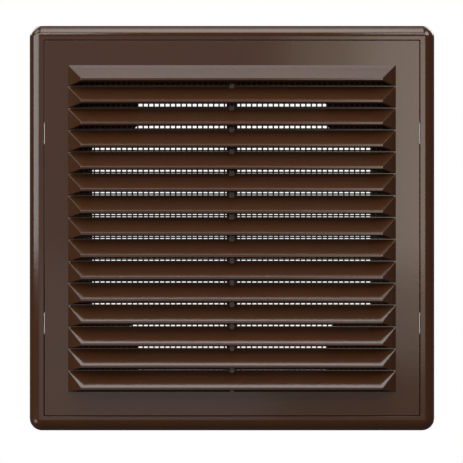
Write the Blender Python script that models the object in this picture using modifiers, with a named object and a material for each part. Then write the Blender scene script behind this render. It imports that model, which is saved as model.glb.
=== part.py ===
"""Square ventilation grille, 187 mm: wall frame, lift-off louvre panel, insect screen and its clamp.

Units are metres. X runs across, Z is up and the front faces -Y. The wall plane is y = 0, and the
origin is the centre of the duct opening on that plane.
"""
import math

import bmesh
import bpy
from mathutils import Matrix, Vector

MM = 0.001

# Wall frame
FRAME_SIZE = 187.0 * MM
FRAME_DEPTH = 12.0 * MM
FRAME_CORNER_RADIUS = 5.5 * MM
FRAME_FRONT_RADIUS = 4.5 * MM
FRAME_WALL = 1.8 * MM
BEZEL_WIDTH = 7.35 * MM
OPENING_SIZE = 130.4 * MM
OPENING_ARM_WIDTH = 87.8 * MM
OPENING_CHAMFER = 4.2 * MM
WEB_THICKNESS = 1.2 * MM
WEB_SETBACK = 0.6 * MM
WEB_OFFSET = 2.0 * MM
SCREW_HOLE_RADIUS = 2.25 * MM
SCREW_BOSS_WALL = 2.25 * MM
SCREW_BOSS_HEIGHT = 1.5 * MM

# Catches, the same in the frame's windows and the panel's tongues
CATCH_OFFSET = 43.8 * MM
CATCH_LENGTH = 10.0 * MM
TONGUE_SIDE_CLEARANCE = 0.5 * MM
TONGUE_SLIT = 1.0 * MM
TONGUE_ROOT_DEPTH = 3.2 * MM
BARB_PROUD = 0.35 * MM
BARB_LEDGE_DEPTH = 2.3 * MM
BARB_RAMP = 3.7 * MM
BARB_SIDE_SETBACK = 1.0 * MM

# Louvre panel
SEAM_GAP = 0.5 * MM
PANEL_WALL = 1.8 * MM
SEAT_CLEARANCE = 0.3 * MM
BLADE_PITCH = 10.0 * MM
BLADE_ANGLE = math.radians(45.0)
CHEEK_ANGLE = math.radians(45.0)
CHEEK_WALL = 1.2 * MM
LAND_HEIGHT = 0.45 * MM
LIP_HEIGHT = 1.0 * MM
SLOT_HEIGHT = 1.5 * MM
RIB_WIDTH = 2.1 * MM
RIB_PROUD = 0.7 * MM
RIB_BACK = 0.6 * MM

# Seat rib, pegs, net and clamp behind the blades
SEAT_RIB_OFFSET = 0.7 * MM
SEAT_RIB_WALL = 1.5 * MM
SEAT_RIB_HEIGHT = 1.6 * MM
NET_THICKNESS = 0.55 * MM
NET_STRAND = 0.55 * MM
NET_CELL = 10.0 * MM
NET_SHIFT = 0.75 * MM
NET_EDGE = 0.6 * MM
CLAMP_THICKNESS = 1.5 * MM
CLAMP_OVERHANG = 2.0 * MM
CLAMP_EDGE = 1.2 * MM
CLAMP_GAP = 1.25 * MM
CLAMP_BAR_WIDTH = 5.0 * MM
CLAMP_CORNER_RADIUS = 3.0 * MM
PEG_RADIUS = 1.5 * MM
PEG_HEAD_LAP = 0.9 * MM
PEG_HEAD_HEIGHT = 1.0 * MM
FIT_CLEARANCE = 0.3 * MM

# Smoothness, Boolean overlap and merging
CORNER_SEGMENTS = 6
ROUND_SEGMENTS = 12
OVERSHOOT = 1.0 * MM
MERGE_DISTANCE = 0.01 * MM
FLAT_ANGLE = math.radians(0.5)
COUNT_TOLERANCE = 1e-6

# Exact quarter turns: a flat shape stood up, and one side of the grille onto the next about Y
STAND_UP = Matrix(((1, 0, 0, 0), (0, 0, -1, 0), (0, 1, 0, 0), (0, 0, 0, 1)))
NEXT_SIDE = Matrix(((0, 0, 1, 0), (0, 1, 0, 0), (-1, 0, 0, 0), (0, 0, 0, 1)))

# Worked out from the sizes above
FRONT_Y = -FRAME_DEPTH
PLATE_FRONT_Y = -FRAME_WALL
POCKET_HALF = FRAME_SIZE / 2 - BEZEL_WIDTH
PANEL_HALF = POCKET_HALF - SEAM_GAP
PANEL_BACK_Y = PLATE_FRONT_Y - SEAT_CLEARANCE
PANEL_INNER_Y = FRONT_Y + PANEL_WALL
CLAMP_HALF = PANEL_HALF - PANEL_WALL - CLAMP_GAP
PEG_OFFSET = CLAMP_HALF - CLAMP_EDGE - FIT_CLEARANCE - PEG_RADIUS
NET_HALF = PEG_OFFSET - PEG_RADIUS - FIT_CLEARANCE
FIELD_HALF = NET_HALF - NET_EDGE - SEAT_RIB_WALL - SEAT_RIB_OFFSET
BLADE_COUNT = math.floor(2 * FIELD_HALF / BLADE_PITCH + COUNT_TOLERANCE)
FIELD_TOP = BLADE_COUNT * BLADE_PITCH / 2
BLADE_DROP = BLADE_PITCH - LAND_HEIGHT - LIP_HEIGHT - SLOT_HEIGHT
HOOD_REACH = BLADE_DROP * math.tan(BLADE_ANGLE)
NET_FRONT_Y = PANEL_INNER_Y + SEAT_RIB_HEIGHT + FIT_CLEARANCE
CLAMP_FRONT_Y = NET_FRONT_Y + NET_THICKNESS + FIT_CLEARANCE
PEG_HEAD_Y = CLAMP_FRONT_Y + CLAMP_THICKNESS + FIT_CLEARANCE


def make_collection(name):
    """New collection linked to the scene."""
    collection = bpy.data.collections.new(name)
    bpy.context.scene.collection.children.link(collection)
    return collection


def make_material(name, colour, roughness):
    """Plain moulded plastic."""
    material = bpy.data.materials.new(name)
    material.use_nodes = True
    shader = material.node_tree.nodes["Principled BSDF"]
    shader.inputs["Base Color"].default_value = (*colour, 1.0)
    shader.inputs["Roughness"].default_value = roughness
    shader.inputs["Metallic"].default_value = 0.0
    return material


def add_object(name, mesh, collection):
    """Object for a finished mesh; cutters are hidden and drawn as wire."""
    obj = bpy.data.objects.new(name, mesh)
    collection.objects.link(obj)
    if collection == cutters:
        obj.hide_render = True
        obj.display_type = "WIRE"
    return obj


def add_shape(name, shape, collection):
    """Object from a bmesh, which is freed."""
    mesh = bpy.data.meshes.new(name)
    shape.to_mesh(mesh)
    shape.free()
    return add_object(name, mesh, collection)


def add_copies(name, single, places, collection):
    """Object with one copy of a bmesh at each placing matrix; the bmesh is freed."""
    mesh = bpy.data.meshes.new(name)
    single.to_mesh(mesh)
    single.free()
    rows = bmesh.new()
    for place in places:
        before = len(rows.verts)
        rows.from_mesh(mesh)
        rows.verts.ensure_lookup_table()
        bmesh.ops.transform(rows, matrix=place, verts=rows.verts[before:])
    bpy.data.meshes.remove(mesh)
    return add_shape(name, rows, collection)


def boxes(name, corners, collection):
    """Solid boxes, each between a low and a high corner, as one object."""
    shape = bmesh.new()
    for low, high in corners:
        size = Vector(high) - Vector(low)
        centre = (Vector(high) + Vector(low)) / 2
        place = Matrix.Translation(centre) @ Matrix.Diagonal((*size, 1.0))
        bmesh.ops.create_cube(shape, size=1.0, matrix=place)
    return add_shape(name, shape, collection)


def cylinders(name, centres, radius, front_y, back_y, collection):
    """Round solids along Y at the given (x, z) centres, as one object."""
    shape = bmesh.new()
    for x, z in centres:
        place = Matrix.Translation((x, (front_y + back_y) / 2, z)) @ STAND_UP
        bmesh.ops.create_cone(
            shape, cap_ends=True, segments=2 * ROUND_SEGMENTS, radius1=radius, radius2=radius,
            depth=back_y - front_y, matrix=place)
    return add_shape(name, shape, collection)


def outline_solid(outlines, thickness):
    """Mesh of flat closed outlines, filled and given a thickness along their own Z."""
    curve = bpy.data.curves.new("outline", "CURVE")
    curve.dimensions = "2D"
    curve.fill_mode = "BOTH"
    curve.extrude = thickness / 2
    for outline in outlines:
        spline = curve.splines.new("POLY")
        spline.points.add(len(outline) - 1)
        for point, (u, v) in zip(spline.points, outline):
            point.co = (u, v, 0.0, 1.0)
        spline.use_cyclic_u = True
    obj = bpy.data.objects.new("outline", curve)
    bpy.context.scene.collection.objects.link(obj)
    graph = bpy.context.evaluated_depsgraph_get()
    mesh = bpy.data.meshes.new_from_object(obj.evaluated_get(graph))
    bpy.data.objects.remove(obj)
    shape = bmesh.new()
    shape.from_mesh(mesh)
    bpy.data.meshes.remove(mesh)
    bmesh.ops.remove_doubles(shape, verts=shape.verts, dist=MERGE_DISTANCE)
    bmesh.ops.recalc_face_normals(shape, faces=shape.faces)
    bmesh.ops.dissolve_limit(shape, angle_limit=FLAT_ANGLE, verts=shape.verts, edges=shape.edges)
    return shape


def plate(outlines, front_y, back_y):
    """Flat solid in the XZ plane between two depths, as a bmesh."""
    shape = outline_solid(outlines, back_y - front_y)
    place = Matrix.Translation((0.0, (front_y + back_y) / 2, 0.0)) @ STAND_UP
    bmesh.ops.transform(shape, matrix=place, verts=shape.verts)
    return shape


def rounded_square(half, radius):
    """Outline of a square with round corners."""
    points = []
    for turn, (side_x, side_z) in enumerate(((1, 1), (-1, 1), (-1, -1), (1, -1))):
        for step in range(CORNER_SEGMENTS + 1):
            angle = math.radians(90.0) * (turn + step / CORNER_SEGMENTS)
            points.append((
                side_x * (half - radius) + radius * math.cos(angle),
                side_z * (half - radius) + radius * math.sin(angle)))
    return points


def square(half):
    """Outline of a square with sharp corners."""
    return [(half, half), (-half, half), (-half, -half), (half, -half)]


def corner_places(offset):
    """The four (x, z) corners of a square."""
    return [(x, z) for x in (-offset, offset) for z in (-offset, offset)]


def boolean(obj, other, operation):
    """Exact Boolean modifier that stays on the object."""
    modifier = obj.modifiers.new(other.name, "BOOLEAN")
    modifier.operation = operation
    modifier.solver = "EXACT"
    modifier.object = other


def rounded_block(half, corner_radius, front_radius, front_y, back_y):
    """Square block with round corners and a rounded front edge, as a bmesh."""
    shape = plate([rounded_square(half, corner_radius)], front_y, back_y)
    front = min(shape.faces, key=lambda face: face.calc_center_median().y)
    bmesh.ops.bevel(
        shape, geom=front.edges[:], offset=front_radius, segments=CORNER_SEGMENTS, profile=0.5,
        affect="EDGES", clamp_overlap=True)
    return shape


def web_places():
    """Positions of the webs along one side: the middle, and both sides of each catch window."""
    reach = CATCH_LENGTH / 2 + WEB_OFFSET
    return [0.0] + [side * CATCH_OFFSET + end * reach for side in (-1, 1) for end in (-1, 1)]


def web_outline():
    """Outline (x, y) of a web from the middle of the pocket wall to that of the rounded outer wall."""
    low = POCKET_HALF + FRAME_WALL / 2
    centre = FRAME_SIZE / 2 - FRAME_FRONT_RADIUS
    radius = FRAME_FRONT_RADIUS - FRAME_WALL / 2
    points = [(low, -WEB_SETBACK), (low, FRONT_Y + FRAME_WALL / 2)]
    for step in range(CORNER_SEGMENTS + 1):
        angle = math.radians(90.0) * step / CORNER_SEGMENTS
        points.append((
            centre + radius * math.sin(angle), FRONT_Y + FRAME_FRONT_RADIUS - radius * math.cos(angle)))
    return points + [(centre + radius, -WEB_SETBACK)]


def frame_webs():
    """Small webs that tie the bezel's outer and inner walls in the hollow behind it."""
    places = []
    turn = Matrix.Identity(4)
    for _ in range(4):
        places.extend(turn @ Matrix.Translation((0.0, 0.0, place)) for place in web_places())
        turn = NEXT_SIDE @ turn
    return add_copies("frame_webs", outline_solid([web_outline()], WEB_THICKNESS), places, cutters)


def opening_outline():
    """Plus-shaped duct opening with chamfered inner corners."""
    far = OPENING_SIZE / 2
    arm = OPENING_ARM_WIDTH / 2
    cut = arm + OPENING_CHAMFER
    corner = [(far, arm), (cut, arm), (arm, cut), (arm, far)]
    points = []
    for _ in range(4):
        points.extend(corner)
        corner = [(-z, x) for x, z in corner]
    return points


def catch_windows():
    """Cutter for the windows through the pocket wall, open to the back, behind the snap tongues."""
    corners = []
    for side in (-1, 1):
        near, far = sorted((
            side * (POCKET_HALF - SEAM_GAP), side * (POCKET_HALF + FRAME_WALL + SEAM_GAP)))
        for place in (-CATCH_OFFSET, CATCH_OFFSET):
            corners.append((
                (near, FRONT_Y + FRAME_WALL, place - CATCH_LENGTH / 2),
                (far, OVERSHOOT, place + CATCH_LENGTH / 2)))
    return boxes("window_cutter", corners, cutters)


def build_base_frame(material):
    """Wall frame: hollow bezel, pocket, back plate with the duct opening, screw holes and webs."""
    shape = rounded_block(FRAME_SIZE / 2, FRAME_CORNER_RADIUS, FRAME_FRONT_RADIUS, FRONT_Y, 0.0)
    frame = add_shape("base_frame", shape, parts)
    hollow = add_shape("frame_hollow", rounded_block(
        FRAME_SIZE / 2 - FRAME_WALL, FRAME_CORNER_RADIUS - FRAME_WALL, FRAME_FRONT_RADIUS - FRAME_WALL,
        FRONT_Y + FRAME_WALL, OVERSHOOT), cutters)
    wall_half = POCKET_HALF + FRAME_WALL
    pocket_block = boxes("pocket_block", [(
        (-wall_half, FRONT_Y + FRAME_WALL / 2, -wall_half), (wall_half, 0.0, wall_half))], cutters)
    pocket = boxes("pocket_cutter", [(
        (-POCKET_HALF, FRONT_Y - OVERSHOOT, -POCKET_HALF),
        (POCKET_HALF, PLATE_FRONT_Y, POCKET_HALF))], cutters)
    opening = add_shape("opening_cutter", plate(
        [opening_outline()], PLATE_FRONT_Y - OVERSHOOT, OVERSHOOT), cutters)
    screws = corner_places((OPENING_SIZE + OPENING_ARM_WIDTH) / 4)
    bosses = cylinders(
        "screw_bosses", screws, SCREW_HOLE_RADIUS + SCREW_BOSS_WALL,
        PLATE_FRONT_Y - SCREW_BOSS_HEIGHT, PLATE_FRONT_Y + FRAME_WALL / 2, cutters)
    holes = cylinders(
        "screw_hole_cutter", screws, SCREW_HOLE_RADIUS,
        PLATE_FRONT_Y - SCREW_BOSS_HEIGHT - OVERSHOOT, OVERSHOOT, cutters)
    boolean(frame, hollow, "DIFFERENCE")
    boolean(frame, pocket_block, "UNION")
    boolean(frame, frame_webs(), "UNION")
    boolean(frame, pocket, "DIFFERENCE")
    boolean(frame, opening, "DIFFERENCE")
    boolean(frame, catch_windows(), "DIFFERENCE")
    boolean(frame, bosses, "UNION")
    boolean(frame, holes, "DIFFERENCE")
    frame.data.materials.append(material)
    return frame


def slope_z(y):
    """Height of the blade's front face at depth y, from its own pitch line."""
    return -LAND_HEIGHT / 2 + (y - FRONT_Y) * BLADE_DROP / HOOD_REACH


def mouth_z(y):
    """Height of the hood's sloping mouth at depth y, from its own pitch line."""
    lip_bottom = -LAND_HEIGHT / 2 - BLADE_DROP - LIP_HEIGHT
    return lip_bottom - SLOT_HEIGHT * (y - FRONT_Y + HOOD_REACH) / HOOD_REACH


def hood_outline():
    """Side outline (y, z) of a hood: sloping blade, upright lip, sloping mouth."""
    root = FRONT_Y + PANEL_WALL / 2
    tip = FRONT_Y - HOOD_REACH
    return [
        (root, slope_z(FRONT_Y)), (FRONT_Y, slope_z(FRONT_Y)), (tip, slope_z(tip)),
        (tip, mouth_z(tip)), (FRONT_Y, mouth_z(FRONT_Y)), (root, mouth_z(FRONT_Y))]


def cavity_outline():
    """Side outline (y, z) of the space under a hood, a wall's thickness behind the blade."""
    wall = PANEL_WALL / math.sin(BLADE_ANGLE)
    back = PANEL_INNER_Y + OVERSHOOT
    floor = mouth_z(FRONT_Y)
    meet = FRONT_Y + (floor + LAND_HEIGHT / 2 + wall) * HOOD_REACH / BLADE_DROP
    return [(back, floor), (back, slope_z(back) - wall), (meet, floor)]


def mitred_prisms(name, outline, half_width, tops, collection):
    """Prisms along X with both ends cut at the cheek angle, one below each pitch line."""
    shape = outline_solid([outline], 2 * (half_width + HOOD_REACH))
    turn = Matrix(((0, 0, 1, 0), (1, 0, 0, 0), (0, 1, 0, 0), (0, 0, 0, 1)))
    bmesh.ops.transform(shape, matrix=turn, verts=shape.verts)
    for side in (-1, 1):
        normal = Vector((side * math.cos(CHEEK_ANGLE), -math.sin(CHEEK_ANGLE), 0.0))
        cut = bmesh.ops.bisect_plane(
            shape, geom=shape.verts[:] + shape.edges[:] + shape.faces[:],
            plane_co=(side * half_width, FRONT_Y, 0.0), plane_no=normal, clear_outer=True)
        rim = [item for item in cut["geom_cut"] if isinstance(item, bmesh.types.BMEdge)]
        bmesh.ops.contextual_create(shape, geom=rim)
    bmesh.ops.recalc_face_normals(shape, faces=shape.faces)
    return add_copies(name, shape, [Matrix.Translation((0.0, 0.0, top)) for top in tops], collection)


def panel_slits():
    """Slits on both sides of each snap tongue, from the skirt's back edge forward."""
    corners = []
    tongue_half = CATCH_LENGTH / 2 - TONGUE_SIDE_CLEARANCE
    for side in (-1, 1):
        near, far = sorted((side * (PANEL_HALF - PANEL_WALL - OVERSHOOT), side * (PANEL_HALF + OVERSHOOT)))
        for place in (-CATCH_OFFSET, CATCH_OFFSET):
            for end in (-1, 1):
                low, high = sorted((place + end * tongue_half, place + end * (tongue_half + TONGUE_SLIT)))
                corners.append((
                    (near, FRONT_Y + TONGUE_ROOT_DEPTH, low), (far, PANEL_BACK_Y + OVERSHOOT, high)))
    return boxes("tongue_slit_cutter", corners, cutters)


def panel_barbs():
    """Ramped barbs on the outer faces of the four snap tongues."""
    length = CATCH_LENGTH - 2 * TONGUE_SIDE_CLEARANCE - 2 * BARB_SIDE_SETBACK
    ledge = FRONT_Y + BARB_LEDGE_DEPTH
    ramp = ledge + BARB_RAMP
    root = PANEL_HALF - PANEL_WALL / 2
    outline = [(root, ledge), (PANEL_HALF + BARB_PROUD, ledge), (PANEL_HALF, ramp), (root, ramp)]
    places = [
        turn @ Matrix.Translation((0.0, 0.0, place))
        for turn in (Matrix.Identity(4), NEXT_SIDE @ NEXT_SIDE) for place in (-CATCH_OFFSET, CATCH_OFFSET)]
    return add_copies("tongue_barbs", outline_solid([outline], length), places, cutters)


def peg_places():
    """Centres (x, z) of the eight pegs: the corners and the middles of the sides."""
    steps = (-PEG_OFFSET, 0.0, PEG_OFFSET)
    return [(x, z) for x in steps for z in steps if (x, z) != (0.0, 0.0)]


def centre_rib():
    """Upright rib through all the hoods, standing proud of the lands as a small pad."""
    half = RIB_WIDTH / 2
    front = FRONT_Y - RIB_PROUD
    top = FIELD_TOP + slope_z(front) - PANEL_WALL / 2
    return boxes("centre_rib", [(
        (-half, front, -FIELD_TOP), (half, PANEL_INNER_Y + RIB_BACK, top))], cutters)


def build_louvre_panel(material):
    """Front panel in one moulding: border and skirt, hoods, rib, seat rib, pegs and snap tongues."""
    panel = boxes("louvre_panel", [(
        (-PANEL_HALF, FRONT_Y, -PANEL_HALF), (PANEL_HALF, PANEL_BACK_Y, PANEL_HALF))], parts)
    inner = PANEL_HALF - PANEL_WALL
    tray = boxes("tray_cutter", [(
        (-inner, PANEL_INNER_Y, -inner), (inner, PANEL_BACK_Y + OVERSHOOT, inner))], cutters)
    tops = [FIELD_TOP - row * BLADE_PITCH for row in range(BLADE_COUNT)]
    hoods = mitred_prisms("hoods", hood_outline(), FIELD_HALF, tops, cutters)
    cavity_half = FIELD_HALF - CHEEK_WALL / math.cos(CHEEK_ANGLE)
    cavities = mitred_prisms("hood_cavity_cutter", cavity_outline(), cavity_half, tops, cutters)
    rib_inner = FIELD_HALF + SEAT_RIB_OFFSET
    seat_rib = add_shape("seat_rib", plate(
        [square(rib_inner + SEAT_RIB_WALL), square(rib_inner)],
        PANEL_INNER_Y - PANEL_WALL / 2, PANEL_INNER_Y + SEAT_RIB_HEIGHT), cutters)
    pegs = cylinders(
        "pegs", peg_places(), PEG_RADIUS, PANEL_INNER_Y - PANEL_WALL / 2,
        PEG_HEAD_Y + PEG_HEAD_HEIGHT / 2, cutters)
    heads = cylinders(
        "peg_heads", peg_places(), PEG_RADIUS + PEG_HEAD_LAP, PEG_HEAD_Y,
        PEG_HEAD_Y + PEG_HEAD_HEIGHT, cutters)
    boolean(panel, tray, "DIFFERENCE")
    boolean(panel, hoods, "UNION")
    boolean(panel, cavities, "DIFFERENCE")
    boolean(panel, centre_rib(), "UNION")
    boolean(panel, seat_rib, "UNION")
    boolean(panel, pegs, "UNION")
    boolean(panel, heads, "UNION")
    boolean(panel, panel_slits(), "DIFFERENCE")
    boolean(panel, panel_barbs(), "UNION")
    panel.data.materials.append(material)
    return panel


def net_sheet():
    """Flat net as a bmesh: a grid with every cell opened, and a plain edge drawn out round it."""
    count = math.floor(2 * FIELD_HALF / NET_CELL + COUNT_TOLERANCE)
    half = count * NET_CELL / 2
    shape = bmesh.new()
    place = Matrix.Translation((0.0, NET_FRONT_Y, NET_SHIFT)) @ STAND_UP
    bmesh.ops.create_grid(shape, x_segments=count, y_segments=count, size=half, matrix=place)
    rim = [edge for edge in shape.edges if edge.is_boundary]
    cells = shape.faces[:]
    drawn = bmesh.ops.extrude_edge_only(shape, edges=rim)["geom"]
    for vert in [item for item in drawn if isinstance(item, bmesh.types.BMVert)]:
        if abs(vert.co.x) > half - NET_STRAND:
            vert.co.x = math.copysign(NET_HALF, vert.co.x)
        if abs(vert.co.z - NET_SHIFT) > half - NET_STRAND:
            vert.co.z = math.copysign(NET_HALF, vert.co.z - NET_SHIFT)
    bmesh.ops.inset_individual(shape, faces=cells, thickness=NET_STRAND / 2)
    bmesh.ops.delete(shape, geom=cells, context="FACES")
    return shape


def build_insect_screen(material):
    """Square net with a plain edge that lies under the clamp."""
    net = add_shape("insect_screen", net_sheet(), parts)
    modifier = net.modifiers.new("thickness", "SOLIDIFY")
    modifier.thickness = NET_THICKNESS
    modifier.offset = -1.0
    net.data.materials.append(material)
    return net


def build_screen_clamp(material):
    """Thin frame with a centre bar that traps the net and slides onto the pegs."""
    back = CLAMP_FRONT_Y + CLAMP_THICKNESS
    clamp = add_shape("screen_clamp", plate(
        [rounded_square(CLAMP_HALF, CLAMP_CORNER_RADIUS)], CLAMP_FRONT_Y, back), parts)
    window = FIELD_HALF - CLAMP_OVERHANG
    bar = CLAMP_BAR_WIDTH / 2
    windows = boxes("clamp_window_cutter", [
        ((low, CLAMP_FRONT_Y - OVERSHOOT, -window), (high, back + OVERSHOOT, window))
        for low, high in ((-window, -bar), (bar, window))], cutters)
    holes = cylinders(
        "peg_hole_cutter", peg_places(), PEG_RADIUS + FIT_CLEARANCE,
        CLAMP_FRONT_Y - OVERSHOOT, back + OVERSHOOT, cutters)
    boolean(clamp, windows, "DIFFERENCE")
    boolean(clamp, holes, "DIFFERENCE")
    clamp.data.materials.append(material)
    return clamp


def build_grille():
    """All four pieces; the lift-off ones hang from an empty at the panel's centre."""
    dark_brown = (0.058, 0.022, 0.009)
    near_black = (0.012, 0.010, 0.009)
    build_base_frame(make_material("frame_plastic", dark_brown, 0.22))
    lift_off = bpy.data.objects.new("panel_lift_off", None)
    lift_off.location = (0.0, FRONT_Y, 0.0)
    parts.objects.link(lift_off)
    pieces = (
        build_louvre_panel(make_material("louvre_plastic", dark_brown, 0.18)),
        build_insect_screen(make_material("net_plastic", near_black, 0.5)),
        build_screen_clamp(make_material("clamp_plastic", near_black, 0.4)))
    for piece in pieces:
        piece.parent = lift_off
        piece.matrix_parent_inverse = Matrix.Translation(-lift_off.location)


for old in list(bpy.data.objects):
    bpy.data.objects.remove(old)
parts = make_collection("ventilation_grille")
cutters = make_collection("cutters")
build_grille()
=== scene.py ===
"""Looks of a square ventilation grille: its pieces, finishes, studio and camera round the CAD model.

Sizes are metres. X runs across, Z is up, the front faces -Y and the wall plane is y = 0.
"""
import logging
import math
from dataclasses import dataclass
from enum import Enum
from typing import Callable

import bpy
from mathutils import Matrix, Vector


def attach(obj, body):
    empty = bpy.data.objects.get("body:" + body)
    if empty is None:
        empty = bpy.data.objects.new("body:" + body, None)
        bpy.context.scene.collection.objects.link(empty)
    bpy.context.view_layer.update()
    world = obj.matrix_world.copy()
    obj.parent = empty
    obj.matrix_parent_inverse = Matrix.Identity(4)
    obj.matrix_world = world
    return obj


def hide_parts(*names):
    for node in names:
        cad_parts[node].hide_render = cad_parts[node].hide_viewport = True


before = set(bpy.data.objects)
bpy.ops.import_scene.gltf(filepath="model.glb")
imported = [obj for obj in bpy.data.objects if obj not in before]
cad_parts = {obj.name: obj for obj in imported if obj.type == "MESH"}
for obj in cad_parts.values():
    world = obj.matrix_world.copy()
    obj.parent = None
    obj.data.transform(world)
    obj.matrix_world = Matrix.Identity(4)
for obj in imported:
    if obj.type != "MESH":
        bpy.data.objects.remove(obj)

Point = tuple[float, float, float]
Colour = tuple[float, float, float]
EdgeTest = Callable[[Vector, Vector], bool]

MM = 0.001
TINY = 0.001 * MM
REACH = 1.0 * MM
RIM_STEPS = 12
CORNER_STEPS = 6
SOFT_STEPS = 3
FILLET_STEPS = 4
CLAMP_STEPS = 2
CHAMFER_STEPS = 1
BORE_SIDES = 48
PEG_SIDES = 32
STRAND_SIDES = 8
NO_TURN = (0.0, 0.0, 0.0)
TURN_TO_X = (0.0, 90.0, 0.0)
TURN_TO_Y = (90.0, 0.0, 0.0)
SMOOTH_BELOW = math.radians(35.0)
NODE_SPACING = 220.0
MIX_SHARE = 0
MIX_FIRST = 6
MIX_SECOND = 7
MIX_RESULT = 2
ADDEND = 2
STYRENE_IOR = 1.59
PEEL_HEIGHT = 0.1 * MM
DUST_COLOUR = (0.30, 0.26, 0.22, 1.0)
BLACK = (0.0, 0.0, 0.0, 1.0)
WHITE = (1.0, 1.0, 1.0, 1.0)
NO_TINT = (1.0, 1.0, 1.0)
COOL_TINT = (0.97, 0.99, 1.0)
SKY_TINT = (0.92, 0.94, 1.0)
WARM_TINT = (1.0, 0.91, 0.79)
log = logging.getLogger("ventilation_grille")


class Joining(Enum):
    """How one solid acts on another."""

    ADD = "UNION"
    CUT = "DIFFERENCE"


class Side(Enum):
    """The four sides of the square, as turns about Y from the right-hand side."""

    RIGHT = 0.0
    BOTTOM = 90.0
    LEFT = 180.0
    TOP = 270.0


def along_y(a: Vector, b: Vector) -> bool:
    """Whether an edge runs parallel to Y."""
    return abs(a.x - b.x) < TINY and abs(a.z - b.z) < TINY


class Workpiece:
    """A mesh object that is being modelled with Blender's own operators."""

    def __init__(self, piece: bpy.types.Object) -> None:
        """Keep the object that is worked on."""
        self.piece = piece

    @classmethod
    def block(cls, name: str, low: Point, high: Point) -> "Workpiece":
        """Start from a box between two corners.

        Args:
            name: name of the new object.
            low: lowest corner.
            high: highest corner.

        Returns:
            The workpiece, with its place in its mesh.
        """
        bpy.ops.object.select_all(action="DESELECT")
        middle = [(a + b) / 2 for a, b in zip(low, high)]
        bpy.ops.mesh.primitive_cube_add(size=1.0, location=middle)
        return cls.settled(name, [b - a for a, b in zip(low, high)])

    @classmethod
    def rod(
            cls, name: str, centre: Point, radius: float, length: float, turn: Point,
            sides: int) -> "Workpiece":
        """Start from a round bar.

        Args:
            name: name of the new object.
            centre: middle of the bar.
            radius: radius of the bar.
            length: length of the bar.
            turn: rotation of the bar from the Z axis, in degrees about X, Y and Z.
            sides: number of flat sides.

        Returns:
            The workpiece, with its place in its mesh.
        """
        bpy.ops.object.select_all(action="DESELECT")
        angles = [math.radians(angle) for angle in turn]
        bpy.ops.mesh.primitive_cylinder_add(
            vertices=sides, radius=radius, depth=length, location=centre, rotation=angles)
        return cls.settled(name, [1.0, 1.0, 1.0])

    @classmethod
    def settled(cls, name: str, scale: list[float]) -> "Workpiece":
        """Name the newest primitive, scale it and move its place into its mesh.

        Args:
            name: name of the new object.
            scale: scale along X, Y and Z.

        Returns:
            The workpiece.
        """
        piece = bpy.context.object
        piece.name = name
        piece.scale = scale
        bpy.ops.object.transform_apply(location=True, rotation=True, scale=True)
        return cls(piece)

    def take_up(self) -> None:
        """Make this the one selected and active object."""
        bpy.ops.object.select_all(action="DESELECT")
        self.piece.select_set(True)
        bpy.context.view_layer.objects.active = self.piece

    def pick_edges(self, test: EdgeTest) -> None:
        """Open edit mode with the edges selected whose two ends pass a test.

        Args:
            test: says of an edge's two ends whether the edge is selected.
        """
        self.take_up()
        bpy.ops.object.mode_set(mode="EDIT")
        bpy.ops.mesh.select_mode(type="EDGE")
        bpy.ops.mesh.select_all(action="DESELECT")
        bpy.ops.object.mode_set(mode="OBJECT")
        places = [vertex.co for vertex in self.piece.data.vertices]
        for edge in self.piece.data.edges:
            edge.select = test(places[edge.vertices[0]], places[edge.vertices[1]])
        bpy.ops.object.mode_set(mode="EDIT")

    def pick_face(self, direction: Point) -> None:
        """Open edit mode with only the face selected that looks most along a direction.

        Args:
            direction: the direction, of any length.
        """
        self.take_up()
        bpy.ops.object.mode_set(mode="EDIT")
        bpy.ops.mesh.select_mode(type="FACE")
        bpy.ops.mesh.select_all(action="DESELECT")
        bpy.ops.object.mode_set(mode="OBJECT")
        way = Vector(direction)
        max(self.piece.data.polygons, key=lambda face: face.normal.dot(way)).select = True
        bpy.ops.object.mode_set(mode="EDIT")

    def round_edges(self, test: EdgeTest, width: float, steps: int) -> None:
        """Bevel the edges that pass a test.

        Args:
            test: says of an edge's two ends whether the edge is bevelled.
            width: width of the bevel.
            steps: number of facets.
        """
        self.pick_edges(test)
        bpy.ops.mesh.bevel(
            offset=width, segments=steps, profile=0.5, affect="EDGES", clamp_overlap=False)
        bpy.ops.object.mode_set(mode="OBJECT")

    def slice_off(self, point: Point, normal: Point) -> None:
        """Cut away what lies past a plane, on the side its normal points to, and close the cut.

        Args:
            point: a point on the plane.
            normal: the plane's normal, of any length.
        """
        self.take_up()
        bpy.ops.object.mode_set(mode="EDIT")
        bpy.ops.mesh.select_all(action="SELECT")
        bpy.ops.mesh.bisect(
            plane_co=point, plane_no=Vector(normal).normalized(), use_fill=True, clear_outer=True,
            threshold=TINY)
        bpy.ops.object.mode_set(mode="OBJECT")

    def spread(self, shifts: list[Point]) -> None:
        """Put a copy of the mesh at each shift from its first place, all in this object.

        Args:
            shifts: one shift per copy.
        """
        self.take_up()
        bpy.ops.object.mode_set(mode="EDIT")
        bpy.ops.mesh.select_all(action="SELECT")
        last = Vector((0.0, 0.0, 0.0))
        for number, shift in enumerate(shifts):
            if number:
                bpy.ops.mesh.duplicate()
            bpy.ops.transform.translate(value=Vector(shift) - last)
            last = Vector(shift)
        bpy.ops.object.mode_set(mode="OBJECT")

    def turned_copy(self, side: Side) -> "Workpiece":
        """Copy the whole piece, turned about Y onto another side.

        Args:
            side: the side that the right-hand one is turned onto.

        Returns:
            The copy, with its turn in its mesh.
        """
        self.take_up()
        bpy.ops.object.duplicate(linked=False)
        copy = bpy.context.object
        copy.rotation_euler = (0.0, math.radians(side.value), 0.0)
        bpy.ops.object.transform_apply(location=True, rotation=True, scale=True)
        return Workpiece(copy)

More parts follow.
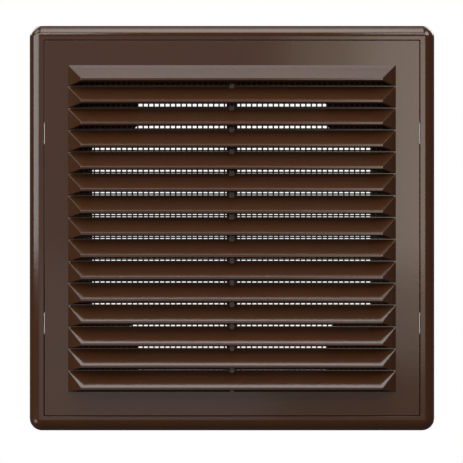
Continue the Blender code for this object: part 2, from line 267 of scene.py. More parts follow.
    def repeat(self, count: int, step: Point) -> None:
        """Repeat the mesh in a row.

        Args:
            count: number of copies in all.
            step: shift from each copy to the next.
        """
        self.take_up()
        bpy.ops.object.modifier_add(type="ARRAY")
        modifier = self.piece.modifiers[-1]
        modifier.count = count
        modifier.use_relative_offset = False
        modifier.use_constant_offset = True
        modifier.constant_offset_displace = step
        bpy.ops.object.modifier_apply(modifier=modifier.name)

    def combine(self, tool: "Workpiece", joining: Joining) -> None:
        """Add another solid to this one or cut it out, and use the other up.

        Args:
            tool: the other solid, which is removed.
            joining: whether it is added or cut out.
        """
        self.take_up()
        bpy.ops.object.modifier_add(type="BOOLEAN")
        modifier = self.piece.modifiers[-1]
        modifier.operation = joining.value
        modifier.solver = "EXACT"
        modifier.object = tool.piece
        bpy.ops.object.modifier_apply(modifier=modifier.name)
        bpy.data.objects.remove(tool.piece)

    def join(self, other: "Workpiece") -> None:
        """Take another object's mesh into this one as it is.

        Args:
            other: the other workpiece, which is used up.
        """
        self.take_up()
        other.piece.select_set(True)
        bpy.ops.object.join()

    def finish(self) -> bpy.types.Object:
        """Shade roundings smooth and flats flat.

        Returns:
            The finished object.
        """
        self.take_up()
        bpy.ops.object.shade_smooth_by_angle(angle=SMOOTH_BELOW)
        bpy.ops.object.modifier_add(type="WEIGHTED_NORMAL")
        modifier = self.piece.modifiers[-1]
        modifier.keep_sharp = True
        bpy.ops.object.modifier_apply(modifier=modifier.name)
        return self.piece


@dataclass(frozen=True)
class NoiseGrain:
    """How fine and how rough a noise is, with its waves counted per metre."""

    waves: float
    octaves: float
    roughness: float


CLOUDS = NoiseGrain(38.0, 3.0, 0.6)
GLOSS_PATCHES = NoiseGrain(150.0, 4.0, 0.65)
RUB_MARKS = NoiseGrain(260.0, 6.0, 0.75)
ORANGE_PEEL = NoiseGrain(900.0, 2.0, 0.5)
DUST_SPECKS = NoiseGrain(1500.0, 5.0, 0.8)


class NodeBench:
    """Places and links nodes in one node tree."""

    def __init__(self, tree: bpy.types.NodeTree) -> None:
        """Keep the tree and start at its left edge."""
        self.tree = tree
        self.column = 0

    def add(self, kind: str, **settings: object) -> bpy.types.Node:
        """Add a node with its settings.

        Args:
            kind: Blender's name of the node type.
            **settings: the node's own properties.

        Returns:
            The new node.
        """
        node = self.tree.nodes.new(kind)
        for name, value in settings.items():
            setattr(node, name, value)
        node.location = (NODE_SPACING * self.column, 0.0)
        self.column += 1
        return node

    def feed(self, node: bpy.types.Node, **inputs: object) -> bpy.types.Node:
        """Set or link a node's inputs, with _ for a space in their names.

        Args:
            node: the node to feed.
            **inputs: values, or sockets to link from.

        Returns:
            The same node.
        """
        for name, value in inputs.items():
            socket = node.inputs[name.replace("_", " ")]
            if isinstance(value, bpy.types.NodeSocket):
                self.tree.links.new(value, socket)
            else:
                socket.default_value = value
        return node

    def noise(self, place: bpy.types.NodeSocket, grain: NoiseGrain) -> bpy.types.NodeSocket:
        """Noise from 0 to 1 at a place.

        Args:
            place: coordinates to read.
            grain: how fine and rough the noise is.

        Returns:
            The socket with the noise.
        """
        node = self.add("ShaderNodeTexNoise")
        self.feed(
            node, Vector=place, Scale=grain.waves, Detail=grain.octaves, Roughness=grain.roughness)
        return node.outputs["Fac"]

    def spread(self, value: bpy.types.NodeSocket, low: object, high: object) -> bpy.types.NodeSocket:
        """Map 0 to 1 onto a range whose ends are numbers or sockets.

        Args:
            value: the socket to map.
            low: what 0 becomes.
            high: what 1 becomes.

        Returns:
            The socket with the mapped value.
        """
        node = self.add("ShaderNodeMapRange")
        self.feed(node, Value=value, To_Min=low, To_Max=high)
        return node.outputs["Result"]

    def maths(self, operation: str, first: object, second: object) -> bpy.types.NodeSocket:
        """Result of one sum on two numbers or sockets.

        Args:
            operation: Blender's name of the operation.
            first: first number or socket.
            second: second number or socket.

        Returns:
            The socket with the result.
        """
        node = self.add("ShaderNodeMath", operation=operation)
        for socket, value in zip(node.inputs, (first, second)):
            if isinstance(value, bpy.types.NodeSocket):
                self.tree.links.new(value, socket)
            else:
                socket.default_value = value
        return node.outputs["Value"]

    def mixed(self, share: object, first: object, second: object) -> bpy.types.NodeSocket:
        """Mix of two colours by a share from 0 to 1.

        Args:
            share: how much of the second colour there is.
            first: first colour or socket.
            second: second colour or socket.

        Returns:
            The socket with the mixed colour.
        """
        node = self.add("ShaderNodeMix", data_type="RGBA")
        for index, value in ((MIX_SHARE, share), (MIX_FIRST, first), (MIX_SECOND, second)):
            if isinstance(value, bpy.types.NodeSocket):
                self.tree.links.new(value, node.inputs[index])
            else:
                node.inputs[index].default_value = value
        return node.outputs[MIX_RESULT]


class SharedEffects:
    """Shader node groups that more than one finish uses."""

    rub_turn: Point = (0.0, 0.6, 0.0)
    rub_stretch: Point = (1.0, 1.0, 14.0)
    rub_dulling: float = 0.05
    dust_from: float = 0.15
    dust_full: float = 0.9
    dust_dulling: float = 0.5

    def __init__(self) -> None:
        """Build both groups once."""
        self.skin = self.moulded_skin()
        self.dust = self.settled_dust()

    @staticmethod
    def started(
            name: str, inputs: dict[str, str], outputs: dict[str, str]
            ) -> tuple[NodeBench, dict[str, bpy.types.NodeSocket], bpy.types.Node]:
        """Start a group with named sockets.

        Args:
            name: name of the group.
            inputs: socket type of each input.
            outputs: socket type of each output.

        Returns:
            The bench for its tree, its input sockets by name, and its output node.
        """
        tree = bpy.data.node_groups.new(name, "ShaderNodeTree")
        for way, sockets in (("INPUT", inputs), ("OUTPUT", outputs)):
            for socket_name, kind in sockets.items():
                tree.interface.new_socket(name=socket_name, in_out=way, socket_type=kind)
        bench = NodeBench(tree)
        given = bench.add("NodeGroupInput")
        sockets = {socket.name: socket for socket in given.outputs if socket.name}
        return bench, sockets, bench.add("NodeGroupOutput")

    def moulded_skin(self) -> bpy.types.NodeTree:
        """Moulded plastic skin: clouded colour, uneven gloss, orange peel and fine rub marks.

        Returns:
            The node group.
        """
        number = "NodeSocketFloat"
        bench, given, result = self.started(
            "moulded skin",
            {"Colour": "NodeSocketColor", "Clouding": number, "Roughness": number,
             "Roughness Spread": number, "Peel Depth": number},
            {"Colour": "NodeSocketColor", "Roughness": number, "Height": number})
        place = bench.add("ShaderNodeTexCoord").outputs["Object"]
        clouds = bench.noise(place, CLOUDS)
        darker = bench.mixed(given["Clouding"], given["Colour"], BLACK)
        colour = bench.mixed(clouds, darker, given["Colour"])
        patches = bench.noise(place, GLOSS_PATCHES)
        low = bench.maths("SUBTRACT", given["Roughness"], given["Roughness Spread"])
        high = bench.maths("ADD", given["Roughness"], given["Roughness Spread"])
        stretched = bench.add("ShaderNodeMapping")
        bench.feed(stretched, Vector=place, Rotation=self.rub_turn, Scale=self.rub_stretch)
        rubs = bench.noise(stretched.outputs["Vector"], RUB_MARKS)
        rough = bench.maths("MULTIPLY_ADD", rubs, self.rub_dulling)
        bench.tree.links.new(bench.spread(patches, low, high), rough.node.inputs[ADDEND])
        peel = bench.noise(place, ORANGE_PEEL)
        height = bench.maths("MULTIPLY", peel, given["Peel Depth"])
        bench.feed(result, Colour=colour, Roughness=rough, Height=height)
        return bench.tree

    def settled_dust(self) -> bpy.types.NodeTree:
        """Thin dust that lies in specks on faces that look up.

        Returns:
            The node group.
        """
        number = "NodeSocketFloat"
        bench, given, result = self.started(
            "settled dust",
            {"Colour": "NodeSocketColor", "Roughness": number, "Amount": number},
            {"Colour": "NodeSocketColor", "Roughness": number})
        normal = bench.add("ShaderNodeNewGeometry").outputs["Normal"]
        split = bench.feed(bench.add("ShaderNodeSeparateXYZ"), Vector=normal)
        upward = bench.add("ShaderNodeMapRange")
        bench.feed(
            upward, Value=split.outputs["Z"], From_Min=self.dust_from, From_Max=self.dust_full)
        place = bench.add("ShaderNodeTexCoord").outputs["Object"]
        specks = bench.noise(place, DUST_SPECKS)
        lying = bench.maths("MULTIPLY", upward.outputs["Result"], specks)
        share = bench.maths("MULTIPLY", lying, given["Amount"])
        bench.feed(
            result, Colour=bench.mixed(share, given["Colour"], DUST_COLOUR),
            Roughness=bench.maths(
                "ADD", given["Roughness"], bench.maths("MULTIPLY", share, self.dust_dulling)))
        return bench.tree


@dataclass(frozen=True)
class PlasticFinish:
    """Moulded plastic: its colour, its roughness and how uneven both are."""

    name: str
    colour: Colour
    roughness: float
    roughness_spread: float
    clouding: float
    peel_depth: float
    dust: float

    def material(self, effects: SharedEffects) -> bpy.types.Material:
        """Build the material.

        Args:
            effects: the shared node groups.

        Returns:
            The material.
        """
        material = bpy.data.materials.new(self.name)
        material.use_nodes = True
        bench = NodeBench(material.node_tree)
        shader = material.node_tree.nodes["Principled BSDF"]
        skin = bench.add("ShaderNodeGroup", node_tree=effects.skin)
        bench.feed(
            skin, Colour=(*self.colour, 1.0), Clouding=self.clouding, Roughness=self.roughness,
            Roughness_Spread=self.roughness_spread, Peel_Depth=self.peel_depth)
        dusty = bench.add("ShaderNodeGroup", node_tree=effects.dust)
        bench.feed(
            dusty, Colour=skin.outputs["Colour"], Roughness=skin.outputs["Roughness"], Amount=self.dust)
        bump = bench.add("ShaderNodeBump")
        bench.feed(bump, Height=skin.outputs["Height"], Distance=PEEL_HEIGHT)
        shader.inputs["IOR"].default_value = STYRENE_IOR
        material.node_tree.links.new(dusty.outputs["Colour"], shader.inputs["Base Color"])
        material.node_tree.links.new(dusty.outputs["Roughness"], shader.inputs["Roughness"])
        material.node_tree.links.new(bump.outputs["Normal"], shader.inputs["Normal"])
        return material


DARK_BROWN = (0.057, 0.0195, 0.0060)
NEAR_BLACK = (0.012, 0.010, 0.009)
FRAME_PLASTIC = PlasticFinish(
    "frame_plastic", DARK_BROWN, roughness=0.10, roughness_spread=0.02,
    clouding=0.20, peel_depth=0.15, dust=0.05)
LOUVRE_PLASTIC = PlasticFinish(
    "louvre_plastic", DARK_BROWN, roughness=0.10, roughness_spread=0.02,
    clouding=0.20, peel_depth=0.15, dust=0.05)
NET_PLASTIC = PlasticFinish(
    "net_plastic", NEAR_BLACK, roughness=0.50, roughness_spread=0.08,
    clouding=0.30, peel_depth=0.60, dust=0.10)
CLAMP_PLASTIC = PlasticFinish(
    "clamp_plastic", NEAR_BLACK, roughness=0.42, roughness_spread=0.06,
    clouding=0.30, peel_depth=0.50, dust=0.10)


def dress(
        piece: bpy.types.Object, finish: PlasticFinish, effects: SharedEffects, body: str,
        node: str) -> None:
    """Give a finished piece its material and its place among the CAD model's bodies.

    Args:
        piece: the finished object.
        finish: its finish, named like the record's slot.
        effects: the shared node groups.
        body: the CAD body that it moves with.
        node: the CAD node that it stands for.
    """
    piece.data.materials.clear()
    piece.data.materials.append(finish.material(effects))
    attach(piece, body)
    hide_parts(node)


def rounded_block(
        name: str, half: float, front: float, back: float, corner: float, rim: float) -> Workpiece:
    """Square block with round corners and a rounded front rim.

    Args:
        name: name of the new object.
        half: half the block's width.
        front: depth of the front face.
        back: depth of the back face.
        corner: radius of the four corners.
        rim: radius of the front rim.

    Returns:
        The block.
    """
    block = Workpiece.block(name, (-half, front, -half), (half, back, half))
    block.round_edges(along_y, corner, RIM_STEPS)
    if rim:
        block.round_edges(lambda a, b: max(a.y, b.y) < front + TINY, rim, RIM_STEPS)
    return block


@dataclass
class WallFrame:
    """Wall frame: hollow bezel, pocket for the panel, back plate with its opening, bosses and webs."""

    half: float = 93.5 * MM
    depth: float = 12.0 * MM
    corner_radius: float = 5.85 * MM
    front_radius: float = 5.75 * MM
    wall: float = 1.8 * MM
    pocket_half: float = 86.21 * MM
    pocket_corner: float = 0.6 * MM
    rim_softness: float = 0.15 * MM
    opening_half: float = 65.2 * MM
    arm_half: float = 43.9 * MM
    opening_chamfer: float = 4.2 * MM
    web_thickness: float = 1.2 * MM
    web_setback: float = 0.6 * MM
    web_places: tuple[float, ...] = (-50.8 * MM, -36.8 * MM, 0.0, 36.8 * MM, 50.8 * MM)
    window_half: float = 5.0 * MM
    window_offset: float = 43.8 * MM
    window_reach: float = 0.5 * MM
    screw_offset: float = 54.55 * MM
    screw_radius: float = 2.25 * MM
    boss_radius: float = 4.5 * MM
    boss_height: float = 1.5 * MM
    boss_softness: float = 0.4 * MM
    skin: float = 0.3 * MM

    def build(self) -> bpy.types.Object:
        """Model the whole frame.

        Returns:
            The finished frame.
        """
        frame_piece = rounded_block(
            "wall_frame", self.half, -self.depth, 0.0, self.corner_radius, self.front_radius)
        frame_piece.combine(rounded_block(
            "hollow", self.half - self.wall, self.wall - self.depth, REACH,
            self.corner_radius - self.wall, self.front_radius - self.wall), Joining.CUT)
        outer = self.pocket_half + self.wall
        frame_piece.combine(Workpiece.block(
            "pocket_walls", (-outer, self.wall / 2 - self.depth, -outer), (outer, 0.0, outer)),
            Joining.ADD)
        webs = self.webs()
        for side in Side:
            frame_piece.combine(webs.turned_copy(side), Joining.ADD)
        bpy.data.objects.remove(webs.piece)
        frame_piece.combine(rounded_block(
            "pocket", self.pocket_half, -self.depth - REACH, -self.wall, self.pocket_corner, 0.0),
            Joining.CUT)
        frame_piece.combine(self.opening(), Joining.CUT)
        windows = self.windows()
        frame_piece.combine(windows.turned_copy(Side.LEFT), Joining.CUT)
        frame_piece.combine(windows, Joining.CUT)
        frame_piece.combine(self.bosses(), Joining.ADD)
        frame_piece.combine(self.screw_holes(), Joining.CUT)
        frame_piece.round_edges(self.on_pocket_rim, self.rim_softness, SOFT_STEPS)
        return frame_piece.finish()

    def on_pocket_rim(self, a: Vector, b: Vector) -> bool:
        """Whether an edge lies on the pocket's front rim."""
        at_front = max(a.y, b.y) < TINY - self.depth
        return at_front and all(max(abs(p.x), abs(p.z)) < self.pocket_half + TINY for p in (a, b))

    def webs(self) -> Workpiece:
        """Row of webs between the pocket wall and the outer wall, on the right-hand side.

        Returns:
            The webs.
        """
        centre = self.half - self.front_radius
        radius = self.front_radius - self.wall / 2
        web = Workpiece.block(
            "webs",
            (self.pocket_half + self.wall / 2, self.wall / 2 - self.depth, -self.web_thickness / 2),
            (centre + radius, -self.web_setback, self.web_thickness / 2))
        web.round_edges(
            lambda a, b: min(a.x, b.x) > centre and max(a.y, b.y) < self.wall - self.depth, radius,
            CORNER_STEPS)
        web.spread([(0.0, 0.0, place) for place in self.web_places])
        return web

    def opening(self) -> Workpiece:
        """Plus-shaped cutter for the duct opening, with its inner corners chamfered.

        Returns:
            The cutter.
        """
        far = self.opening_half
        arm = self.arm_half
        cutter = Workpiece.block("opening", (-far, -self.wall - REACH, -far), (far, REACH, far))
        gusset = Workpiece.block(
            "gusset", (arm, -self.wall - 2 * REACH, arm), (far + REACH, 2 * REACH, far + REACH))
        gusset.round_edges(
            lambda a, b: along_y(a, b) and max(a.x, a.z) < arm + TINY, self.opening_chamfer,
            CHAMFER_STEPS)
        for side in Side:
            cutter.combine(gusset.turned_copy(side), Joining.CUT)
        bpy.data.objects.remove(gusset.piece)
        return cutter

    def windows(self) -> Workpiece:
        """Cutter for the two catch windows in the right-hand pocket wall.

        Returns:
            The cutter.
        """
        inside = self.pocket_half - self.window_reach
        outside = self.pocket_half + self.wall + self.window_reach
        window = Workpiece.block(
            "windows", (inside, self.wall - self.depth, -self.window_half),
            (outside, REACH, self.window_half))
        window.spread([(0.0, 0.0, -self.window_offset), (0.0, 0.0, self.window_offset)])
        return window

    def screw_places(self) -> list[Point]:
        """Shifts of the four screw holes from the middle."""
        offset = self.screw_offset
        return [(x, 0.0, z) for x in (-offset, offset) for z in (-offset, offset)]

    def bosses(self) -> Workpiece:
        """Raised rounds about the screw holes, softly rimmed.

        Returns:
            The four rounds.
        """
        front = -self.wall - self.boss_height
        back = -self.wall / 2
        boss = Workpiece.rod(
            "bosses", (0.0, (front + back) / 2, 0.0), self.boss_radius, back - front,
            TURN_TO_Y, BORE_SIDES)
        boss.round_edges(lambda a, b: max(a.y, b.y) < front + TINY, self.boss_softness, SOFT_STEPS)
        boss.spread(self.screw_places())
        return boss

    def screw_holes(self) -> Workpiece:
        """Cutter for the screw holes, each with a thin knock-out skin left half way down.

        Returns:
            The cutter.
        """
        front = -self.wall - self.boss_height - REACH
        middle = (-self.wall - self.boss_height) / 2
        hole = Workpiece.rod(
            "screw_holes", (0.0, (front + middle - self.skin / 2) / 2, 0.0), self.screw_radius,
            middle - self.skin / 2 - front, TURN_TO_Y, BORE_SIDES)
        hole.join(Workpiece.rod(
            "screw_holes_behind", (0.0, (middle + self.skin / 2 + REACH) / 2, 0.0), self.screw_radius,
            REACH - middle - self.skin / 2, TURN_TO_Y, BORE_SIDES))
        hole.spread(self.screw_places())
        return hole


@dataclass
class LouvrePanel:
    """Lift-off panel: border, skirt, rows of mitred hoods, centre rib, seat rib, pegs and tongues."""

    half: float = 85.85 * MM
    front: float = -12.0 * MM
    back: float = -2.1 * MM
    wall: float = 1.8 * MM
    corner: float = 0.5 * MM
    rim_softness: float = 0.15 * MM
    field_half: float = 75.0 * MM
    rows: int = 15
    pitch: float = 10.0 * MM
    land: float = 0.45 * MM
    land_drop: float = 0.2 * MM
    hood_reach: float = 6.7 * MM
    lip: float = 1.0 * MM
    slot: float = 1.8 * MM
    hood_root: float = 0.3 * MM
    hood_wall: float = 2.5 * MM
    root_softness: float = 0.33 * MM
    shortest_root_line: float = 18.75 * MM
    cheek_wall: float = 1.2 * MM
    edge_softness: float = 0.15 * MM
    rib_half: float = 1.05 * MM
    rib_proud: float = 0.7 * MM
    rib_back: float = 0.6 * MM
    seat_inner: float = 75.7 * MM
    seat_wall: float = 1.5 * MM
    seat_height: float = 1.6 * MM
    peg_offset: float = 79.6 * MM
    peg_radius: float = 1.5 * MM
    peg_head_lap: float = 0.9 * MM
    peg_head_front: float = -5.65 * MM
    peg_head_height: float = 1.0 * MM
    peg_head_softness: float = 0.45 * MM
    tongue_offset: float = 43.8 * MM
    tongue_half: float = 4.5 * MM
    tongue_slit: float = 1.0 * MM
    tongue_root: float = 3.2 * MM
    barb_proud: float = 0.2 * MM
    barb_ledge: float = 2.3 * MM
    barb_ramp: float = 3.7 * MM
    barb_setback: float = 1.0 * MM

    @property
    def inner(self) -> float:
        """Depth of the inner face behind the border."""
        return self.front + self.wall

    @property
    def root(self) -> float:
        """Depth in the middle of the border's wall, where added shapes start."""
        return self.front + self.wall / 2

    @property
    def tip(self) -> float:
        """Depth of the hoods' lips."""
        return self.front - self.hood_reach

    @property
    def first_start(self) -> float:
        """Height at which the first hood leaves the panel's face."""
        return self.rows * self.pitch / 2 - self.land / 2 - self.land_drop

    def build(self) -> bpy.types.Object:
        """Model the whole panel.

        Returns:
            The finished panel.
        """
        panel = rounded_block(
            "louvre_front", self.half, self.front, self.back, self.corner, self.rim_softness)
        inside = self.half - self.wall
        panel.combine(Workpiece.block(
            "tray", (-inside, self.inner, -inside), (inside, self.back + REACH, inside)), Joining.CUT)
        panel.combine(self.hoods(), Joining.ADD)
        panel.round_edges(self.on_hood_root, self.root_softness, FILLET_STEPS)
        panel.combine(self.hood_cavities(), Joining.CUT)
        panel.combine(self.centre_rib(), Joining.ADD)
        panel.combine(self.seat_rib(), Joining.ADD)
        panel.combine(self.pegs(), Joining.ADD)
        slits = self.slits()
        panel.combine(slits.turned_copy(Side.LEFT), Joining.CUT)
        panel.combine(slits, Joining.CUT)
        barbs = self.barbs()
        panel.combine(barbs.turned_copy(Side.LEFT), Joining.ADD)
        panel.combine(barbs, Joining.ADD)
        return panel.finish()

    def on_hood_root(self, a: Vector, b: Vector) -> bool:
        """Whether an edge is the line along which a hood's face leaves the panel's face.

        Args:
            a: one end of the edge.
            b: its other end.

        Returns:
            True for such a line.
        """
        if max(abs(a.y - self.front), abs(b.y - self.front), abs(a.z - b.z)) > TINY:
            return False
        steps = (self.first_start - a.z) / self.pitch
        on_a_row = abs(steps - round(steps)) * self.pitch < TINY
        return on_a_row and abs(a.x - b.x) > self.shortest_root_line

    def mitre(self, solid: Workpiece, half: float) -> None:
        """Cut both ends of a solid at 45 degrees, to a given half width at the panel's face."""
        for side in (-1.0, 1.0):
            solid.slice_off((side * half, self.front, 0.0), (side, -1.0, 0.0))

    def hoods(self) -> Workpiece:
        """Solid hoods with soft edges, one per row.

        Returns:
            The hoods.
        """
        start = self.first_start
        lip_bottom = start - self.hood_reach - self.lip
        mouth_back = lip_bottom - self.slot
        wide = self.field_half + self.hood_reach
        back = self.front + self.hood_root
        hood = Workpiece.block(
            "hoods", (-wide, self.tip, mouth_back - self.slot), (wide, back, start + self.wall))
        hood.slice_off((0.0, self.front, start), (0.0, -1.0, 1.0))
        hood.slice_off((0.0, self.front, mouth_back), (0.0, -self.slot, -self.hood_reach))
        self.mitre(hood, self.field_half)
        hood.round_edges(lambda a, b: min(a.y, b.y) < back - TINY, self.edge_softness, SOFT_STEPS)
        hood.repeat(self.rows, (0.0, 0.0, -self.pitch))
        return hood

    def hood_cavities(self) -> Workpiece:
        """Cutter for the space under each hood, a wall's thickness behind its face.

        Returns:
            The cutter.
        """
        start = self.first_start
        floor = start - self.hood_reach - self.lip - self.slot
        drop = self.hood_wall * math.sqrt(2.0)
        wide = self.field_half + self.hood_reach
        cavity = Workpiece.block(
            "cavities", (-wide, self.tip - REACH, floor), (wide, self.inner + REACH, start + self.wall))
        cavity.slice_off((0.0, self.front, start - drop), (0.0, -1.0, 1.0))
        self.mitre(cavity, self.field_half - self.cheek_wall * math.sqrt(2.0))
        cavity.repeat(self.rows, (0.0, 0.0, -self.pitch))
        return cavity

    def centre_rib(self) -> Workpiece:
        """Upright rib through all the hoods, a little proud of the panel's face.

        Returns:
            The rib.
        """
        top = self.rows * self.pitch / 2
        face = self.front - self.rib_proud
        start = self.first_start - self.rib_proud - self.wall / 2
        rib = Workpiece.block(
            "rib", (-self.rib_half, face, -top), (self.rib_half, self.inner + self.rib_back, start))
        rib.round_edges(
            lambda a, b: max(a.y, b.y) < face + TINY and abs(a.x - b.x) < TINY, self.edge_softness,
            SOFT_STEPS)
        return rib

    def seat_rib(self) -> Workpiece:
        """Low rib round the field that the net lies on.

        Returns:
            The rib.
        """
        outer = self.seat_inner + self.seat_wall
        top = self.inner + self.seat_height
        rib = Workpiece.block("seat_rib", (-outer, self.root, -outer), (outer, top, outer))
        rib.combine(Workpiece.block(
            "seat_rib_inside", (-self.seat_inner, self.root - REACH, -self.seat_inner),
            (self.seat_inner, top + REACH, self.seat_inner)), Joining.CUT)
        return rib

    def pegs(self) -> Workpiece:
        """Eight staked pegs with flattened heads.

        Returns:
            The pegs.
        """
        back = self.peg_head_front + self.peg_head_height
        peg = Workpiece.rod(
            "pegs", (0.0, (self.peg_head_front + back) / 2, 0.0), self.peg_radius + self.peg_head_lap,
            self.peg_head_height, TURN_TO_Y, PEG_SIDES)
        peg.round_edges(lambda a, b: min(a.y, b.y) > back - TINY, self.peg_head_softness, FILLET_STEPS)
        peg.pick_face((0.0, -1.0, 0.0))
        bpy.ops.mesh.inset(thickness=self.peg_head_lap)
        bpy.ops.mesh.extrude_region_move(
            TRANSFORM_OT_translate={"value": (0.0, self.root - self.peg_head_front, 0.0)})
        bpy.ops.object.mode_set(mode="OBJECT")
        steps = (-self.peg_offset, 0.0, self.peg_offset)
        peg.spread([(x, 0.0, z) for x in steps for z in steps if x or z])
        return peg

    def slits(self) -> Workpiece:
        """Cutter for the slits beside the two tongues of the right-hand skirt.

        Returns:
            The cutter.
        """
        slit = Workpiece.block(
            "slits", (self.half - self.wall - REACH, self.front + self.tongue_root, 0.0),
            (self.half + REACH, self.back + REACH, self.tongue_slit))
        slit.spread([
            (0.0, 0.0, place + end) for place in (-self.tongue_offset, self.tongue_offset)
            for end in (-self.tongue_half - self.tongue_slit, self.tongue_half)])
        return slit

    def barbs(self) -> Workpiece:
        """Ramped barbs of the two right-hand tongues.

        Returns:
            The barbs.
        """
        reach = self.tongue_half - self.barb_setback
        ledge = self.front + self.barb_ledge
        barb = Workpiece.block(
            "barbs", (self.half - self.wall / 2, ledge, -reach),
            (self.half + self.barb_proud, ledge + self.barb_ramp, reach))
        barb.slice_off(
            (self.half + self.barb_proud, ledge, 0.0), (self.barb_ramp, self.barb_proud, 0.0))
        barb.spread([(0.0, 0.0, -self.tongue_offset), (0.0, 0.0, self.tongue_offset)])
        return barb


@dataclass
class InsectNet:
    """Square net of upright strands laid on level ones."""

    half: float = 77.4 * MM
    front: float = -8.3 * MM
    thickness: float = 0.55 * MM
    layer_share: float = 0.62
    strand: float = 0.74 * MM
    pitch: float = 2.5 * MM
    strands: int = 62
    first_upright: float = -75.95 * MM
    first_level: float = -76.75 * MM

    def build(self) -> bpy.types.Object:
        """Model both layers of strands as one net.

        Returns:
            The finished net.
        """
        layer = self.layer_share * self.thickness
        net = Workpiece.rod(
            "insect_net", (0.0, 0.0, 0.0), self.strand / 2, 2 * self.half, NO_TURN, STRAND_SIDES)
        self.flatten(net, layer, (self.first_upright, self.front + layer / 2, 0.0))
        net.repeat(self.strands, (self.pitch, 0.0, 0.0))
        level = Workpiece.rod(
            "level_strands", (0.0, 0.0, 0.0), self.strand / 2, 2 * self.half, TURN_TO_X, STRAND_SIDES)
        self.flatten(level, layer, (0.0, self.front + self.thickness - layer / 2, self.first_level))
        level.repeat(self.strands, (0.0, 0.0, self.pitch))
        net.join(level)
        return net.finish()

    def flatten(self, strand: Workpiece, layer: float, place: Point) -> None:
        """Flatten a round strand to the layer's thickness and put it in its place.

        Args:
            strand: the round strand, its middle at the origin.
            layer: thickness of the layer.
            place: where its middle goes.
        """
        strand.take_up()
        strand.piece.scale = (1.0, layer / self.strand, 1.0)
        strand.piece.location = place
        bpy.ops.object.transform_apply(location=True, rotation=True, scale=True)


@dataclass
class NetClamp:
    """Thin square frame with a centre bar that holds the net on the pegs."""

    half: float = 82.6 * MM
    front: float = -7.45 * MM
    thickness: float = 1.5 * MM
    corner: float = 3.0 * MM
    window_half: float = 73.0 * MM
    window_corner: float = 1.2 * MM
    bar_half: float = 2.5 * MM
    hole_offset: float = 79.6 * MM
    hole_radius: float = 1.8 * MM
    edge_softness: float = 0.2 * MM

    def build(self) -> bpy.types.Object:
        """Model the clamp.

        Returns:
            The finished clamp.
        """
        back = self.front + self.thickness
        clamp = rounded_block("net_clamp", self.half, self.front, back, self.corner, 0.0)
        clamp.round_edges(lambda a, b: abs(a.y - b.y) < TINY, self.edge_softness, CLAMP_STEPS)
        window = Workpiece.block(
            "clamp_window", (self.bar_half, self.front - REACH, -self.window_half),
            (self.window_half, back + REACH, self.window_half))
        window.round_edges(along_y, self.window_corner, CORNER_STEPS)
        clamp.combine(window.turned_copy(Side.LEFT), Joining.CUT)
        clamp.combine(window, Joining.CUT)
        clamp.combine(self.holes(back), Joining.CUT)
        return clamp.finish()

    def holes(self, back: float) -> Workpiece:
        """Cutter for the eight peg holes.

        Args:
            back: depth of the clamp's back face.

        Returns:
            The cutter.
        """
        hole = Workpiece.rod(
            "clamp_holes", (0.0, (self.front + back) / 2, 0.0), self.hole_radius,
            self.thickness + 2 * REACH, TURN_TO_Y, PEG_SIDES)
        steps = (-self.hole_offset, 0.0, self.hole_offset)
        hole.spread([(x, 0.0, z) for x in steps for z in steps if x or z])
        return hole


@dataclass(frozen=True)
class SoftBox:
    """Rectangular studio lamp aimed at a point, the middle of the grille unless told otherwise."""

    name: str
    place: Point
    width: float
    height: float
    brightness: float
    tint: Colour = NO_TINT
    aim: Point = (0.0, -10.0 * MM, 0.0)

    def light(self) -> None:
        """Put the lamp in the scene; its brightness is how it shows in a mirror, where 1 is white."""
        data = bpy.data.lights.new(self.name, "AREA")
        data.color = self.tint
        data.shape = "RECTANGLE"
        data.size = self.width
        data.size_y = self.height
        data.energy = self.brightness * math.pi * self.width * self.height
        lamp = bpy.data.objects.new(self.name, data)
        lamp.location = self.place
        way = Vector(self.aim) - Vector(self.place)
        lamp.rotation_euler = way.to_track_quat("-Z", "Y").to_euler()
        bpy.context.scene.collection.objects.link(lamp)


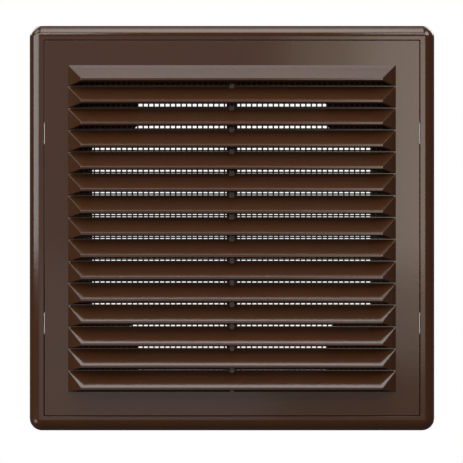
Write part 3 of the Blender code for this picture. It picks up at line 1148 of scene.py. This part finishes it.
@dataclass
class Studio:
    """Pale floor, white backdrop, dim surroundings and soft boxes."""

    surroundings: float = 0.08
    floor_level: float = -0.80
    floor_size: float = 5.0
    floor_paint: Colour = (0.8, 0.8, 0.8)
    floor_roughness: float = 0.9
    sheet_size: float = 0.72
    sheet_distance: float = 1.0
    boxes: tuple[SoftBox, ...] = (
        SoftBox("overhead", (0.0, -0.50, 1.21), 0.66, 0.85, 3.6, COOL_TINT),
        SoftBox("overhead_rear", (0.0, 0.21, 1.28), 0.66, 0.32, 1.4),
        SoftBox("key_left", (-0.85, -1.00, 0.77), 1.30, 0.17, 5.2, aim=(-0.85, -0.01, 0.0)),
        SoftBox("key_right", (0.85, -1.00, 0.77), 1.30, 0.17, 4.6, aim=(0.85, -0.01, 0.0)),
        SoftBox("right_high", (0.82, -0.61, 0.82), 0.58, 0.56, 3.8),
        SoftBox("left", (-1.02, -0.78, 0.26), 1.17, 0.62, 3.4, COOL_TINT),
        SoftBox("upper_left", (-0.77, -0.36, 0.95), 0.66, 0.66, 2.2),
        SoftBox("left_low", (-1.02, -0.60, -0.55), 0.63, 0.46, 2.0),
        SoftBox("front_left", (-0.28, -1.28, 0.03), 0.72, 0.72, 0.38, SKY_TINT),
        SoftBox("front_low", (0.09, -1.29, -0.20), 1.14, 0.32, 0.24),
        SoftBox("front_right", (0.34, -1.26, 0.15), 0.52, 0.43, 1.3, WARM_TINT),
        SoftBox("front_right_far", (0.40, -1.25, 0.15), 0.40, 0.43, 1.4, WARM_TINT),
        SoftBox("front_right_low", (0.35, -1.27, -0.135), 0.48, 0.135, 1.0, WARM_TINT),
        SoftBox("rear_left", (-0.95, 0.95, 0.95), 0.90, 0.90, 3.5),
        SoftBox("rear_right", (0.95, 0.95, 0.95), 0.90, 0.90, 3.5),
    )

    def build(self) -> None:
        """Set up everything that lights and surrounds the object."""
        self.world()
        self.floor()
        self.backdrop()
        for box in self.boxes:
            box.light()
            log.info("lamp %s", box.name)

    def world(self) -> None:
        """Even dim grey surroundings."""
        world = bpy.data.worlds.new("surroundings")
        world.use_nodes = True
        background = world.node_tree.nodes["Background"]
        background.inputs["Color"].default_value = WHITE
        background.inputs["Strength"].default_value = self.surroundings
        bpy.context.scene.world = world

    def floor(self) -> None:
        """Plain pale floor below the camera's view, which casts no light back onto the object."""
        bpy.ops.object.select_all(action="DESELECT")
        bpy.ops.mesh.primitive_plane_add(size=self.floor_size, location=(0.0, 0.0, self.floor_level))
        floor = bpy.context.object
        floor.name = "floor"
        floor.visible_glossy = False
        floor.visible_diffuse = False
        material = bpy.data.materials.new("floor_paint")
        material.use_nodes = True
        shader = material.node_tree.nodes["Principled BSDF"]
        shader.inputs["Base Color"].default_value = (*self.floor_paint, 1.0)
        shader.inputs["Roughness"].default_value = self.floor_roughness
        floor.data.materials.append(material)

    def backdrop(self) -> None:
        """White sheet behind the object that is seen and mirrored as white but casts no light."""
        bpy.ops.object.select_all(action="DESELECT")
        bpy.ops.mesh.primitive_plane_add(
            size=self.sheet_size, location=(0.0, self.sheet_distance, 0.0),
            rotation=(math.pi / 2, 0.0, 0.0))
        sheet = bpy.context.object
        sheet.name = "backdrop"
        material = bpy.data.materials.new("backdrop_paint")
        material.use_nodes = True
        bench = NodeBench(material.node_tree)
        shader = material.node_tree.nodes["Principled BSDF"]
        shader.inputs["Base Color"].default_value = BLACK
        shader.inputs["Specular IOR Level"].default_value = 0.0
        shader.inputs["Emission Color"].default_value = WHITE
        ray = bench.add("ShaderNodeLightPath")
        seen = bench.maths("MAXIMUM", ray.outputs["Is Camera Ray"], ray.outputs["Is Glossy Ray"])
        seen = bench.maths("MAXIMUM", seen, ray.outputs["Is Transmission Ray"])
        material.node_tree.links.new(seen, shader.inputs["Emission Strength"])
        sheet.data.materials.append(material)


@dataclass
class PhotoCamera:
    """Camera straight in front of the grille."""

    place: Point = (-0.23 * MM, -545.0 * MM, -1.556 * MM)
    view_width: float = 211.96 * MM
    distance: float = 533.0 * MM
    sensor: float = 36.0
    nearest: float = 10.0 * MM

    def build(self) -> None:
        """Put the camera in place and make it the scene's."""
        data = bpy.data.cameras.new("photo_camera")
        data.sensor_width = self.sensor
        data.lens = self.sensor * self.distance / self.view_width
        data.clip_start = self.nearest
        camera = bpy.data.objects.new("photo_camera", data)
        camera.location = self.place
        camera.rotation_euler = (math.pi / 2, 0.0, 0.0)
        bpy.context.scene.collection.objects.link(camera)
        bpy.context.scene.camera = camera


def main() -> None:
    """Build every piece in order, then the studio and the camera."""
    logging.basicConfig(level=logging.INFO, format="%(name)s: %(message)s")
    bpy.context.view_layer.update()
    effects = SharedEffects()
    for maker, finish, body, node in (
            (WallFrame(), FRAME_PLASTIC, "frame", "base_frame"),
            (LouvrePanel(), LOUVRE_PLASTIC, "panel", "louvre_panel"),
            (InsectNet(), NET_PLASTIC, "panel", "insect_screen"),
            (NetClamp(), CLAMP_PLASTIC, "panel", "screen_clamp")):
        piece = maker.build()
        dress(piece, finish, effects, body, node)
        log.info("%s: %d faces", piece.name, len(piece.data.polygons))
    Studio().build()
    PhotoCamera().build()
    bpy.context.scene.view_settings.view_transform = "Standard"


if __name__ == "__main__":
    main()
